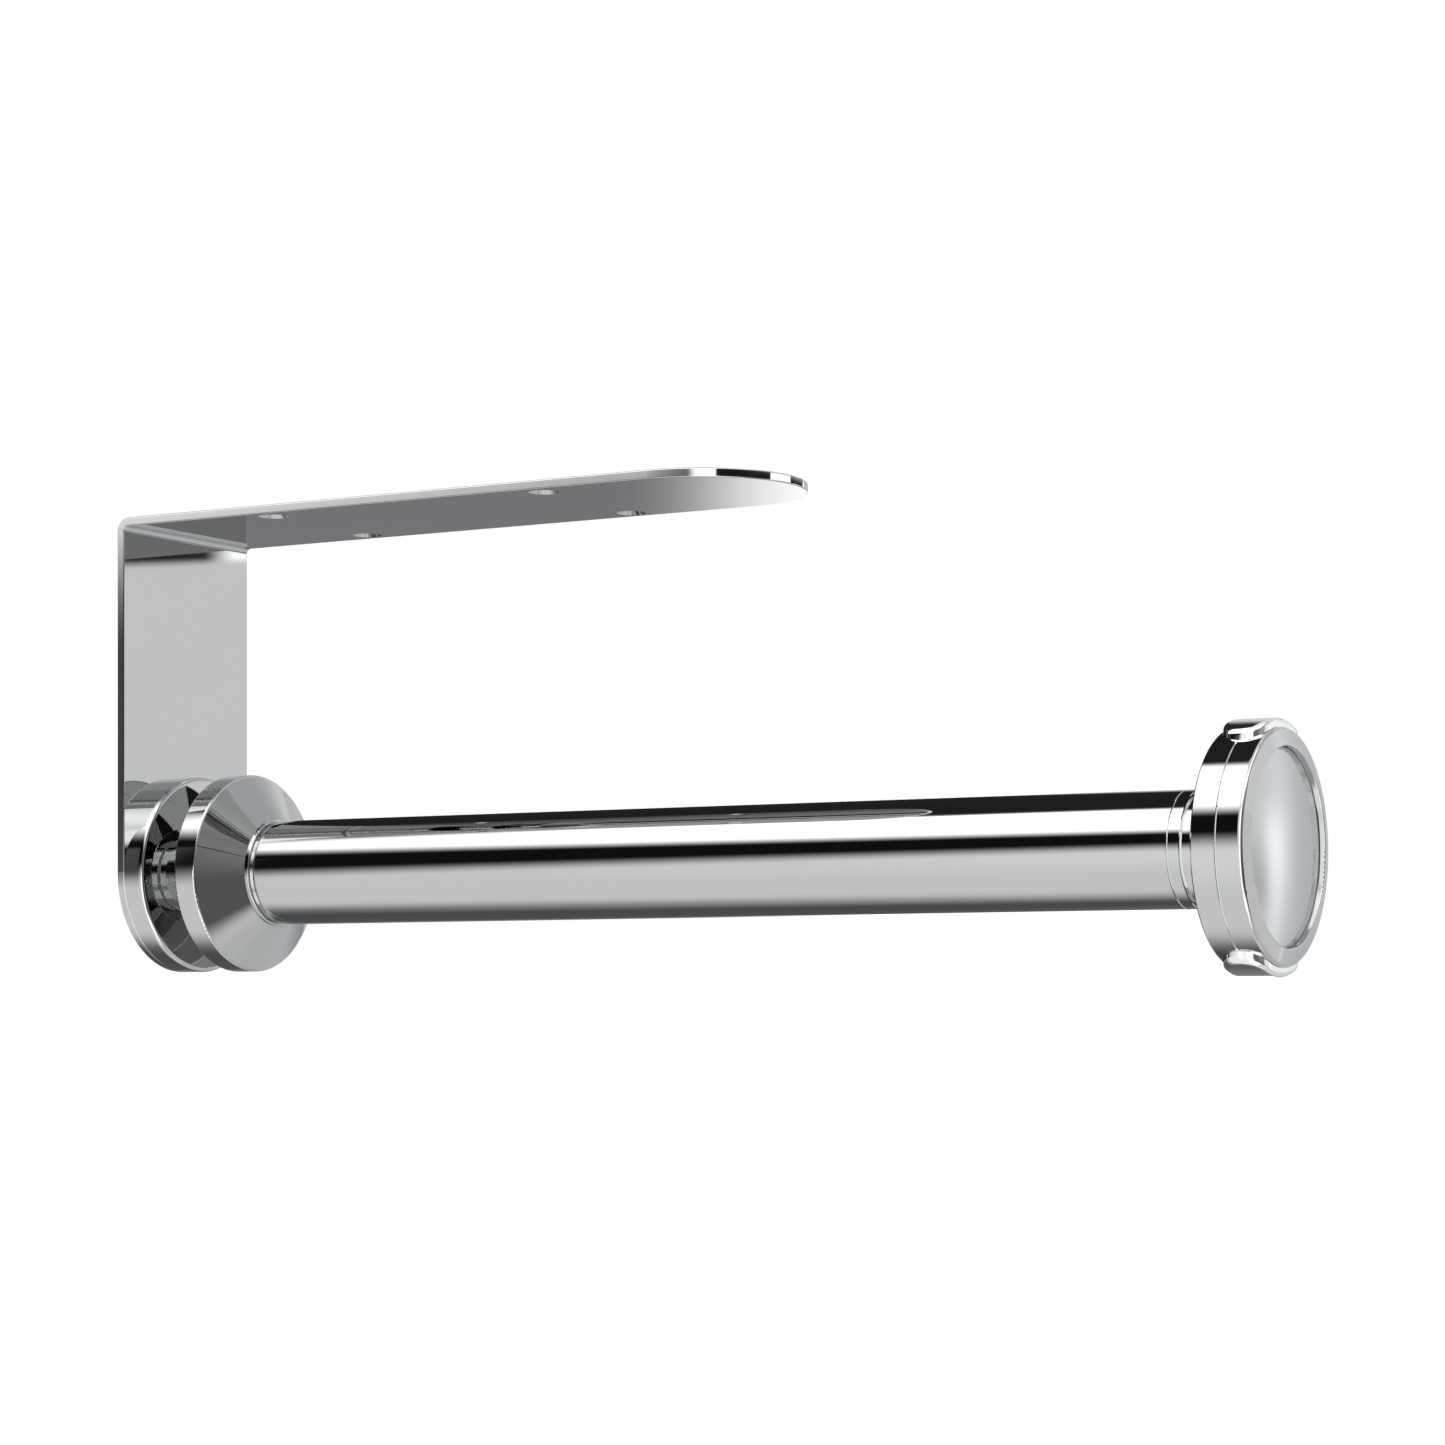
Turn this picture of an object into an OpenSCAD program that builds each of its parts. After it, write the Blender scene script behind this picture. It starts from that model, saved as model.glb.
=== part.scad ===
// Under-cabinet paper towel holder: a bent strap carries a fixed axle, a rod turns on it,
// and a squeeze-release cap closes the rod's free end. Millimetres, +Z up, +X towards the
// free end. The origin is on the strap's top face, in the middle of its four screw holes.

/* [Mounting strap] */
// Width of the strap; its two ends are half circles of this width
strap_w = 53.4; // [51:0.2:60]
// Thickness of the strap
strap_t = 2.3; // [2.2:0.1:3]
// Radius on the strap's long edges
strap_edge = 0.3; // [0.1:0.05:0.8]
// Inside radius of the bend
bend_r = 1.5; // [1:0.25:4]
// Length of the arm, from the inside of the leg to the round tip
arm_l = 191.5; // [170:0.5:260]
// Drop from the arm's underside to the rod's axis
arm_drop = 93; // [80:1:140]

/* [Cabinet screw holes] */
// From the inside of the leg to the first pair
hole_first = 46; // [40:1:60]
// Distance between the two pairs
hole_pitch_l = 85; // [60:1:95]
// Distance between the two holes of a pair
hole_pitch_w = 42; // [28:1:43]
// Diameter of the holes
hole_d = 4.5; // [4:0.1:5.5]
// Diameter of the countersinks
sink_d = 7.8; // [7:0.2:8.6]

/* [Towel roll] */
// Length of the roll that the rod takes
roll_l = 279.4; // [250:0.2:300]
// Inside diameter of the roll's core, which sits on the cone
core_d = 41.5; // [36:0.5:46]
// Play between the seated roll and the end cap
roll_play = 1.4; // [0.4:0.2:6]

/* [Base flange] */
// Thickness of the flange at its rim
base_l = 6.3; // [6:0.1:9]
// Radius on the rim's front edge
base_round = 1.3; // [0.6:0.1:2]
// Slope of the slightly raised front face, in degrees
base_slope = 2.6; // [1:0.2:4]
// Diameter of the neck
neck_d = 21; // [20.5:0.5:25]

/* [Cone collar] */
// Diameter of the collar
collar_d = 53.4; // [50:0.2:60]
// Gap between the rims of the base flange and the collar
collar_gap = 10.9; // [10:0.1:16]
// Length of the collar's rim
collar_rim_l = 6.7; // [4:0.1:10]
// Radius on the rim's two edges
collar_round = 0.5; // [0.3:0.1:1.2]
// How far the collar's rear face rises towards its middle
collar_crown = 1.2; // [0.4:0.1:1.5]
// Length of the cone
cone_l = 7.3; // [5:0.1:12]
// Diameter of the cone's small end and of the bead after it
bead_d = 29.2; // [29:0.1:34]
// Length of the bead
bead_l = 1.3; // [1:0.1:4]
// Radius on the bead's two edges
bead_round = 0.3; // [0.2:0.1:0.4]
// Diameter of the groove between the bead and the rod
groove_d = 26.4; // [26:0.1:27.4]
// Length of the groove
groove_l = 0.5; // [0.4:0.1:2]
// Length of the collar's spigot inside the rod
spigot_l = 22.8; // [18:0.1:40]

/* [Rod] */
// Outside diameter of the rod
rod_d = 28; // [27.6:0.1:29]
// Wall of the rod's tube
rod_wall = 1.5; // [1.2:0.1:1.8]
// Radius on the rod's end beside the collar
rod_round = 1.4; // [0.4:0.1:1.4]
// Length of the ferrule at the free end
ferrule_l = 3.1; // [2:0.1:8]
// Bevel on the two sides of a seam, at the ferrule and between the cap's shells
seam_bevel = 0.2; // [0.1:0.05:0.4]
// Diameter of the neck between the ferrule and the cap
cap_neck_d = 26.4; // [26:0.1:27.2]
// Length of that neck
cap_neck_l = 8.2; // [5:0.1:12]
// Length of the end plug inside the rod
plug_l = 28; // [20:1:60]

/* [Axle and bearings] */
// Diameter of the axle
axle_d = 12; // [10:0.5:12.5]
// Diameter of the axle's shoulder
shoulder_d = 16; // [15:0.5:17]
// Length of the shoulder
shoulder_l = 3; // [2:0.5:4]
// Wall of the bushes
bush_wall = 3; // [2:0.1:3.2]
// Length of the bushes
bush_l = 12; // [8:0.5:14]
// Diameter of the rear bush's flange
rear_flange_d = 26.4; // [22:0.2:32]
// Thickness of the rear bush's flange
rear_flange_t = 2; // [1:0.1:3]
// Thickness of the front bush's flange
front_flange_t = 1; // [0.8:0.1:2]
// Thickness of the plain thrust washer
thrust_t = 0.5; // [0.4:0.1:1]
// Thickness of the bowed spring washer's metal
bow_t = 0.5; // [0.3:0.1:0.8]
// Height that the spring washer bows to
bow_rise = 1.2; // [0.8:0.1:2]
// Thickness of the axle's end washer
end_washer_t = 1; // [0.8:0.1:2]
// Thickness of the retaining ring
clip_t = 1; // [0.8:0.1:1.5]

/* [Fasteners] */
// Thread diameter of the screw that holds the axle
axle_screw_d = 5; // [4:0.5:6]
// Length of that screw
axle_screw_l = 16; // [12:1:22]
// Thread diameter of the two screws that stop the flange turning
flange_screw_d = 3.5; // [3:0.5:4]
// Distance between those two screws
flange_screw_pitch = 34; // [30:1:40]
// Length of those screws
flange_screw_l = 6; // [5:0.5:7]
// Thread diameter of the screws that join the cap's shells
cap_screw_d = 2.5; // [2:0.5:3]
// Length of those screws
cap_screw_l = 9; // [8:0.5:9]

/* [End cap] */
// Diameter of the cap
cap_d = 55.4; // [54.4:0.2:60]
// Length of the cap's rim
cap_l = 12.4; // [12:0.1:14]
// From the cap's rear face to the seam between its shells
cap_seam = 6.1; // [6:0.1:7]
// Wall of the shells
cap_wall = 1.6; // [1.2:0.1:1.8]
// Bevel on the cap's rear edge
cap_bevel = 0.4; // [0.2:0.1:0.8]
// Radius on the cap's front edge
cap_round = 1.1; // [0.6:0.1:1.4]
// Radius on the inner edge of the ring around the face
lip_round = 0.35; // [0.2:0.05:0.5]
// Diameter of the round face
face_d = 46.4; // [42:0.2:46.8]
// How far the ring around the face rises in front of the rim
ring_rise = 1; // [0.6:0.1:2]
// Depth of the step from the ring down to the face's edge
face_step = 1.7; // [1.2:0.1:2]
// Thickness of the face at its edge
face_edge_t = 1; // [0.8:0.1:1.4]

/* [Squeeze buttons] */
// Width of a button around the cap
button_w = 27.4; // [24:0.1:30]
// How far a button stands proud of the rim
button_proud = 2.1; // [1.6:0.1:3]
// Travel of a button
button_travel = 1.5; // [1:0.1:1.5]
// Radius of a button's four corners
button_corner = 5.4; // [3:0.1:5.4]
// Radius on a button's outer edges
button_round = 1.2; // [0.6:0.1:1.6]
// Thin wall that is left in front of and behind a button
button_lip = 0.6; // [0.3:0.1:0.8]
// Thickness of a button's head below the rim
button_depth = 2.1; // [1.8:0.1:2.4]
// How far the foot reaches past the shank on each side
foot_reach = 3.3; // [2:0.1:3.6]
// Thickness of the foot
foot_t = 1.8; // [1.2:0.1:2]

/* [Latch] */
// Diameter of the stud that the cap slides on
stud_d = 16; // [14:0.5:16.5]
// Length of the stud inside the cap
stud_l = 8.8; // [8.2:0.1:8.9]
// Depth of the stud's groove
latch_groove = 1.7; // [1.2:0.1:2]
// Width of the latch ring along the rod
latch_t = 2.4; // [1.6:0.1:2.4]
// Thickness of the latch ring's wall
latch_wall = 2.2; // [1.6:0.1:2.4]
// Half the width of the latch ring across its two lugs
latch_half_w = 13; // [12.6:0.1:14]

/* [Clearances] */
// Radial clearance of a running fit
run_fit = 0.05; // [0.02:0.01:0.09]
// Radial clearance of pieces that are fixed in each other
fixed_fit = 0.03; // [0.01:0.01:0.05]
// End play between turning and fixed faces
end_play = 0.1; // [0.05:0.01:0.2]
// Gap around a button
button_gap = 0.15; // [0.1:0.01:0.25]
// Gap between the latch ring and what it works against
latch_gap = 0.2; // [0.1:0.05:0.3]

/* [Hidden] */
$fn = 96;

CHROME = "#c9ccd0";
STEEL = "#a9adb2";
ACETAL = "#e8e6df";
ZINC = "#9aa0a6";

// Over-length of a cutter past the face that it opens
past = 1;

// Radii
base_r = strap_w / 2;
collar_r = collar_d / 2;
rod_r = rod_d / 2;
bore_r = rod_r - rod_wall;
axle_r = axle_d / 2;
neck_r = neck_d / 2;
cap_r = cap_d / 2;
face_r = face_d / 2;
stud_r = stud_d / 2;
bush_r = axle_r + run_fit + bush_wall;
cavity_r = cap_r - cap_wall;

// Stations along the rod, from the inside of the leg
collar_x0 = base_l + collar_gap;
hub_x = collar_x0 - collar_crown;
neck_x1 = hub_x - end_play - thrust_t;
collar_x1 = collar_x0 + collar_rim_l;
cone_x1 = collar_x1 + cone_l;
bead_x1 = cone_x1 + bead_l;
tube_x0 = bead_x1 + groove_l;
cone_r0 = collar_r - collar_round;
cone_r1 = bead_d / 2;
seat_x = collar_x1 + cone_l * (cone_r0 - core_d / 2) / (cone_r0 - cone_r1);
cap_x0 = seat_x + roll_l + roll_play;
ferrule_x1 = cap_x0 - cap_neck_l;
tube_x1 = ferrule_x1 - ferrule_l;
spigot_x1 = cone_x1 + spigot_l;
bow_x0 = spigot_x1 + front_flange_t + run_fit;
washer_x0 = bow_x0 + bow_t + bow_rise + run_fit;
clip_x0 = washer_x0 + end_washer_t;
clip_groove_r = axle_r - 0.8;
axle_x1 = clip_x0 + clip_t + 2.1;
shoulder_x0 = neck_x1 - shoulder_l - 3;

// The leg stands at wall_x and the rod's axis runs at axis_z
wall_x = -(hole_first + hole_pitch_l / 2);
axis_z = -(strap_t + arm_drop);

// Inside the cap, measured from its rear face
cap_x1 = cap_x0 + cap_l;
ring_slope = atan(ring_rise / (cap_r - face_r));
face_x0 = cap_x1 + ring_rise - face_step - face_edge_t;
floor_x0 = face_x0 - 1.2;
latch_x0 = cap_x0 + 3.4;
stud_groove_r = stud_r - latch_groove;
cap_boss_r = 2.8;
cap_boss_y = cavity_r - cap_boss_r - 1.85;
cap_boss_z = 7.5;
cap_sink_r = cap_screw_d / 2 + 1;

// Buttons
button_r = cap_r + button_proud;
button_x0 = cap_x0 + button_lip + button_gap;
button_len = cap_l - 2 * (button_lip + button_gap);
pad_corner = min(button_corner, button_len / 2 - 0.05);
head_in_r = cap_r - button_depth;
pocket_r = head_in_r - button_travel - button_gap;
foot_half = button_w / 2 + foot_reach;
foot_z1 = sqrt(pow(cavity_r - 0.3, 2) - pow(foot_half, 2));
foot_z0 = foot_z1 - foot_t;
shank_x0 = cap_x0 + cap_wall + 0.6;
shank_x1 = floor_x0 - 0.6;
latch_top = foot_z0 - latch_gap;

// ---- Helpers -------------------------------------------------------------

// Turns a profile, drawn as [radius, station], about the rod's axis
module turned() {
    translate([wall_x, 0, axis_z])
        rotate([0, 90, 0])
            rotate_extrude()
                children();
}

// A rectangle of a profile, between two radii and two stations
module band(r0, r1, x0, x1) {
    translate([r0, x0])
        square([r1 - r0, x1 - x0]);
}

// What a rounded edge takes off a profile; front is 1 on a front edge, -1 on a rear one
module edge_off(r, x, f, front = 1) {
    translate([r - f, x - front * f])
        difference() {
            translate([0, front > 0 ? 0 : -(f + past)])
                square(f + past);
            circle(f);
        }
}

// What a bevelled edge takes off a profile
module bevel_off(r, x, f, front = 1) {
    polygon([[r - f, x + front * past], [r - f, x], [r, x - front * f],
             [r + past, x - front * f], [r + past, x + front * past]]);
}

// What a rounded edge takes off where a side meets a front that leans by slope degrees;
// outer is 1 where the front leans away from the corner, -1 on the edge of a hole
module corner_off(r, x, f, slope, outer) {
    reach = f / tan(45 + outer * slope / 2);
    far = f + past;
    translate([r - outer * f, x - reach])
        difference() {
            polygon([[0, 0], [outer * far, 0], [outer * far, 2 * far],
                     [far * sin(slope), far * cos(slope)]]);
            circle(f);
        }
}

// Places a shape that is drawn along +Z so that it points along the rod
module along(x, y = 0, z = 0) {
    translate([wall_x + x, y, axis_z + z])
        rotate([0, 90, 0])
            children();
}

// A countersunk screw along +Z, its head's flat face at the origin
module sunk_screw(d, head_r, l, key_r) {
    difference() {
        union() {
            cylinder(r1 = head_r, r2 = d / 2, h = head_r - d / 2);
            cylinder(r = d / 2, h = l);
        }
        translate([0, 0, -past])
            cylinder(r = key_r, h = past + (head_r - d / 2) * 0.8, $fn = 6);
    }
}

// The hole that such a screw goes through, along +Z
module sunk_hole(d, head_r, l) {
    clear_r = d / 2 + fixed_fit;
    translate([0, 0, -past])
        cylinder(r = clear_r, h = l + past);
    translate([0, 0, -past])
        cylinder(r1 = head_r + fixed_fit + past, r2 = clear_r, h = head_r - d / 2 + past);
}

// ---- Fixed pieces --------------------------------------------------------

axle_head_r = axle_screw_d / 2 + strap_t - 0.3;
flange_head_r = flange_screw_d / 2 + strap_t - 0.3;

// The strap's section: its thickness along x, and its width, from y0 up, along y
module strap_section(y0) {
    y1 = strap_w / 2;
    difference() {
        translate([0, y0])
            square([strap_t, y1 - y0]);
        for (s = [0, 1])
            translate([s * strap_t, y1])
                mirror([s, 0])
                    section_corner();
        if (y0 < 0)
            for (s = [0, 1])
                translate([s * strap_t, y0])
                    mirror([s, 0])
                        mirror([0, 1])
                            section_corner();
    }
}

// What the rounding takes off the corner at the top left
module section_corner() {
    translate([strap_edge, -strap_edge])
        difference() {
            translate([-strap_edge - past, 0])
                square(strap_edge + past);
            circle(strap_edge);
        }
}

// The strap's half-round ends: a disc whose faces are square to +Z
module strap_end() {
    rotate_extrude()
        rotate(-90)
            mirror([1, 0])
                strap_section(0);
}

module mounting_bracket() {
    color(CHROME)
        difference() {
            union() {
                translate([wall_x + bend_r, 0, 0])
                    rotate([0, 90, 0])
                        linear_extrude(arm_l - bend_r - strap_w / 2)
                            strap_section(-strap_w / 2);
                translate([wall_x + bend_r, 0, -strap_t - bend_r])
                    rotate([90, 0, 0])
                        rotate(90)
                            rotate_extrude(angle = 90)
                                translate([bend_r, 0])
                                    strap_section(-strap_w / 2);
                translate([wall_x - strap_t, 0, axis_z])
                    linear_extrude(arm_drop - bend_r)
                        strap_section(-strap_w / 2);
                translate([wall_x + arm_l - strap_w / 2, 0, -strap_t])
                    strap_end();
                along(-strap_t)
                    strap_end();
            }
            for (sx = [-1, 1], sy = [-1, 1])
                translate([sx * hole_pitch_l / 2, sy * hole_pitch_w / 2, -strap_t])
                    cabinet_hole();
            along(-strap_t)
                sunk_hole(axle_screw_d, axle_head_r, strap_t + past);
            for (s = [-1, 1])
                along(-strap_t, s * flange_screw_pitch / 2)
                    sunk_hole(flange_screw_d, flange_head_r, strap_t + past);
        }
}

module cabinet_hole() {
    sink_h = (sink_d - hole_d) / 2;
    translate([0, 0, -past])
        cylinder(d = hole_d, h = strap_t + 2 * past);
    translate([0, 0, -past])
        cylinder(r1 = sink_d / 2 + past, r2 = hole_d / 2, h = sink_h + past);
}

module base_flange() {
    face_rise = (base_r - base_round - neck_r) * tan(base_slope);
    color(CHROME)
        difference() {
            turned()
                difference() {
                    polygon([[axle_r + fixed_fit, 0], [base_r, 0], [base_r, base_l],
                             [base_r - base_round, base_l], [neck_r, base_l + face_rise],
                             [neck_r, neck_x1], [axle_r + fixed_fit, neck_x1]]);
                    edge_off(base_r, base_l, base_round);
                    band(0, shoulder_d / 2 + fixed_fit, shoulder_x0, neck_x1 + past);
                }
            for (s = [-1, 1])
                along(-past, s * flange_screw_pitch / 2)
                    cylinder(r = flange_screw_d / 2 + fixed_fit,
                             h = past + flange_screw_l - strap_t + 0.3);
        }
}

module axle() {
    color(STEEL)
        turned()
            difference() {
                union() {
                    band(0, axle_r, 0, axle_x1);
                    band(0, shoulder_d / 2, shoulder_x0, shoulder_x0 + shoulder_l);
                }
                bevel_off(axle_r, axle_x1, 0.8);
                band(clip_groove_r, axle_r + past, clip_x0, clip_x0 + clip_t);
                band(-past, axle_screw_d / 2 + fixed_fit, -past, axle_screw_l - strap_t + 1);
            }
}

module axle_screw() {
    color(STEEL)
        along(-strap_t)
            sunk_screw(axle_screw_d, axle_head_r, axle_screw_l, axle_screw_d * 0.34);
}

module flange_screws() {
    color(STEEL)
        for (s = [-1, 1])
            along(-strap_t, s * flange_screw_pitch / 2)
                sunk_screw(flange_screw_d, flange_head_r, flange_screw_l,
                           flange_screw_d * 0.34);
}

module thrust_washer() {
    color(ACETAL)
        turned()
            band(axle_r + run_fit, neck_r - 0.3, neck_x1, neck_x1 + thrust_t);
}

// A plain ring that is bowed over one diameter
module spring_washer() {
    r_out = bush_r + 1.2;
    bow_r = (r_out * r_out + bow_rise * bow_rise) / (2 * bow_rise);
    color(STEEL)
        intersection() {
            turned()
                band(axle_r + run_fit, r_out, bow_x0 - past, washer_x0 + past);
            translate([wall_x + bow_x0 + bow_r, 0, axis_z - r_out - past])
                difference() {
                    cylinder(r = bow_r, h = 2 * (r_out + past));
                    translate([0, 0, -past])
                        cylinder(r = bow_r - bow_t, h = 2 * (r_out + 2 * past));
                }
        }
}

module end_washer() {
    color(STEEL)
        turned()
            band(axle_r + run_fit, bush_r + 2.4, washer_x0, washer_x0 + end_washer_t);
}

// An open ring that snaps into the axle's groove from above
module retaining_ring() {
    slot_r = clip_groove_r + fixed_fit;
    color(STEEL)
        difference() {
            along(clip_x0)
                cylinder(r = axle_r + 2.6, h = clip_t);
            along(clip_x0 - past)
                cylinder(r = slot_r, h = clip_t + 2 * past);
            translate([wall_x + clip_x0 - past, -slot_r * 0.8, axis_z])
                cube([clip_t + 2 * past, slot_r * 1.6, axle_r + 2.6 + past]);
        }
}

// ---- Turning rod ---------------------------------------------------------

module cone_collar() {
    color(CHROME)
        turned()
            difference() {
                polygon([[bush_r + fixed_fit, hub_x], [rear_flange_d / 2, hub_x + 0.2],
                         [collar_r - collar_round, collar_x0], [collar_r, collar_x0],
                         [collar_r, collar_x1], [cone_r0, collar_x1],
                         [cone_r1, cone_x1], [bore_r - fixed_fit, cone_x1],
                         [bore_r - fixed_fit, spigot_x1], [bush_r + fixed_fit, spigot_x1]]);
                edge_off(collar_r, collar_x0, collar_round, -1);
                edge_off(collar_r, collar_x1, collar_round);
                band(0, rear_flange_d / 2 + fixed_fit, hub_x - past, hub_x + rear_flange_t);
            }
}

module rear_bush() {
    color(CHROME)
        turned() {
            band(axle_r + run_fit, rear_flange_d / 2, hub_x, hub_x + rear_flange_t);
            band(axle_r + run_fit, bush_r, hub_x, hub_x + bush_l);
        }
}

module front_bush() {
    color(ACETAL)
        turned() {
            band(axle_r + run_fit, bush_r, spigot_x1 - bush_l, spigot_x1);
            band(axle_r + run_fit, bore_r - 1, spigot_x1, spigot_x1 + front_flange_t);
        }
}

module bead_ring() {
    bead_r = bead_d / 2;
    color(CHROME)
        turned()
            difference() {
                union() {
                    band(bore_r, bead_r, cone_x1, bead_x1);
                    band(bore_r, groove_d / 2, cone_x1 + bead_l / 2, tube_x0);
                }
                edge_off(bead_r, cone_x1, bead_round, -1);
                edge_off(bead_r, bead_x1, bead_round);
            }
}

module rod_tube() {
    color(CHROME)
        turned()
            difference() {
                band(bore_r, rod_r, tube_x0, tube_x1);
                edge_off(rod_r, tube_x0, rod_round, -1);
                bevel_off(rod_r, tube_x1, seam_bevel);
            }
}

module end_ferrule() {
    color(CHROME)
        turned()
            difference() {
                band(bore_r, rod_r, tube_x1, ferrule_x1);
                bevel_off(rod_r, tube_x1, seam_bevel, -1);
                bevel_off(rod_r, ferrule_x1, seam_bevel);
            }
}

module end_plug() {
    plug_r = bore_r - fixed_fit;
    color(CHROME)
        turned()
            difference() {
                union() {
                    band(0, plug_r, ferrule_x1 - plug_l, ferrule_x1);
                    band(0, cap_neck_d / 2, ferrule_x1, cap_x0 - end_play);
                }
                band(-past, plug_r - 3, ferrule_x1 - plug_l - past, ferrule_x1 - 8);
                band(-past, stud_r - 2 + fixed_fit, ferrule_x1 - 8 - past, cap_x0 + past);
            }
}

module latch_stud() {
    stud_x1 = cap_x0 + stud_l;
    color(STEEL)
        turned()
            difference() {
                union() {
                    band(0, stud_r - 2, ferrule_x1 - 8, cap_x0 - end_play);
                    band(0, stud_r, cap_x0 - end_play, stud_x1);
                }
                bevel_off(stud_r, stud_x1, 1);
                band(stud_groove_r, stud_r + past, latch_x0 - end_play,
                     latch_x0 + latch_t + end_play);
            }
}

// ---- End cap -------------------------------------------------------------

// The outline of a button seen from above, grown by g, and its pocket's
module button_plan(g) {
    half = button_w / 2 + g;
    corner = pad_corner + g;
    x0 = button_x0 - g;
    x1 = button_x0 + button_len + g;
    translate([x0 + corner, -half])
        square([x1 - x0 - 2 * corner, 2 * half]);
    translate([x0, -half + corner])
        square([x1 - x0, 2 * (half - corner)]);
    for (x = [x0 + corner, x1 - corner], y = [-half + corner, half - corner])
        translate([x, y])
            circle(corner);
}

// The button's outline seen along the rod, with its two outer edges rounded
module button_end_view() {
    half = button_w / 2;
    centre_y = half - button_round;
    centre_z = sqrt(pow(button_r - button_round, 2) - pow(centre_y, 2));
    reach = 4 * button_round;
    difference() {
        intersection() {
            circle(button_r);
            translate([-half, 0])
                square([2 * half, button_r]);
        }
        for (s = [-1, 1])
            scale([s, 1])
                translate([centre_y, centre_z])
                    difference() {
                        polygon([[0, 0], [reach, 0], [reach, reach],
                                 [centre_y, centre_z] * reach / button_r]);
                        circle(button_round);
                    }
    }
}

// Room for a button's head: the cap's metal above the pocket's floor
module pocket() {
    difference() {
        translate([wall_x, 0, axis_z])
            linear_extrude(button_r)
                button_plan(button_gap);
        along(cap_x0 - past)
            cylinder(r = pocket_r, h = cap_l + ring_rise + 2 * past);
    }
}

// A top piece turned half round to the bottom
module flipped() {
    translate([0, 0, 2 * axis_z])
        mirror([0, 0, 1])
            children();
}

module button() {
    intersection() {
        turned()
            difference() {
                band(head_in_r, button_r, button_x0, button_x0 + button_len);
                edge_off(button_r, button_x0 + button_len, button_round);
                edge_off(button_r, button_x0, button_round, -1);
            }
        translate([wall_x, 0, axis_z])
            linear_extrude(button_r + past)
                button_plan(0);
        translate([wall_x + cap_x0, 0, axis_z])
            rotate([90, 0, 90])
                linear_extrude(cap_l)
                    button_end_view();
    }
    translate([wall_x + shank_x0, -button_w / 2 + pad_corner, axis_z + foot_z0])
        cube([shank_x1 - shank_x0, button_w - 2 * pad_corner,
              head_in_r + 1 - foot_z0]);
    translate([wall_x + shank_x0, -foot_half, axis_z + foot_z0])
        cube([shank_x1 - shank_x0, 2 * foot_half, foot_t]);
}

module cap_screw_places() {
    for (sy = [-1, 1], sz = [-1, 1])
        along(cap_x0, sy * cap_boss_y, sz * cap_boss_z)
            children();
}

module cap_rear_shell() {
    color(CHROME)
        difference() {
            union() {
                turned()
                    difference() {
                        band(stud_r + run_fit, cap_r, cap_x0, cap_x0 + cap_seam);
                        bevel_off(cap_r, cap_x0, cap_bevel, -1);
                        bevel_off(cap_r, cap_x0 + cap_seam, seam_bevel);
                        band(stud_r + 3, cavity_r, cap_x0 + cap_wall, cap_x0 + cap_seam + past);
                        band(0, stud_r + 3 + past, latch_x0 - end_play,
                             cap_x0 + cap_seam + past);
                    }
                cap_screw_places()
                    translate([0, 0, cap_wall / 2])
                        cylinder(r = cap_boss_r, h = cap_seam - cap_wall / 2);
            }
            pocket();
            flipped()
                pocket();
            cap_screw_places()
                sunk_hole(cap_screw_d, cap_sink_r, cap_seam + past);
        }
}

module cap_front_shell() {
    seam_x = cap_x0 + cap_seam;
    color(CHROME)
        difference() {
            union() {
                turned()
                    difference() {
                        polygon([[0, seam_x], [cap_r, seam_x], [cap_r, cap_x1],
                                 [face_r, cap_x1 + ring_rise],
                                 [face_r, face_x0], [0, face_x0]]);
                        corner_off(cap_r, cap_x1, cap_round, ring_slope, 1);
                        corner_off(face_r, cap_x1 + ring_rise, lip_round, ring_slope, -1);
                        bevel_off(cap_r, seam_x, seam_bevel, -1);
                        band(-past, cavity_r, seam_x - past, floor_x0);
                    }
                turned()
                    band(stud_r + run_fit, stud_r + 3, latch_x0 + latch_t + end_play,
                         floor_x0 + 0.5);
                cap_screw_places()
                    translate([0, 0, cap_seam])
                        cylinder(r = cap_boss_r, h = floor_x0 + 0.5 - seam_x);
            }
            pocket();
            flipped()
                pocket();
            cap_screw_places()
                cylinder(r = cap_screw_d / 2 + fixed_fit, h = cap_screw_l + 0.3);
        }
}

// A shallow dome; its edge lies at the foot of the ring's step
module cap_face() {
    edge_r = face_r - fixed_fit;
    dome_r = (edge_r * edge_r + face_step * face_step) / (2 * face_step);
    face_x1 = face_x0 + face_edge_t + face_step;
    color(CHROME)
        turned()
            intersection() {
                translate([0, face_x1 - dome_r])
                    circle(dome_r, $fn = 480);
                band(0, edge_r, face_x0, face_x1 + past);
            }
}

module cap_screws() {
    color(STEEL)
        cap_screw_places()
            sunk_screw(cap_screw_d, cap_sink_r, cap_screw_l, cap_screw_d * 0.34);
}

// A springy oval ring: its two side lugs sit in the stud's groove, and the buttons' feet
// squash it from above and below until the lugs spread clear of the groove
module latch_ring() {
    outer_r = latch_half_w;
    inner_r = latch_half_w - latch_wall;
    centre_z = latch_top - outer_r;
    lug_r = stud_groove_r + latch_gap;
    color(ACETAL)
        translate([wall_x + latch_x0, 0, axis_z])
            rotate([90, 0, 90])
                linear_extrude(latch_t)
                    difference() {
                        union() {
                            difference() {
                                oval(outer_r, centre_z);
                                oval(inner_r, centre_z);
                            }
                            translate([-inner_r - latch_wall / 2, -3])
                                square([2 * inner_r + latch_wall, 6]);
                        }
                        circle(lug_r);
                    }
}

// Two half circles of radius r, joined by straight sides
module oval(r, centre_z) {
    for (s = [-1, 1])
        translate([0, s * centre_z])
            circle(r);
    translate([-r, -centre_z])
        square([2 * r, 2 * centre_z]);
}

module top_button() {
    color(CHROME)
        button();
}

module bottom_button() {
    color(CHROME)
        flipped()
            button();
}

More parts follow.
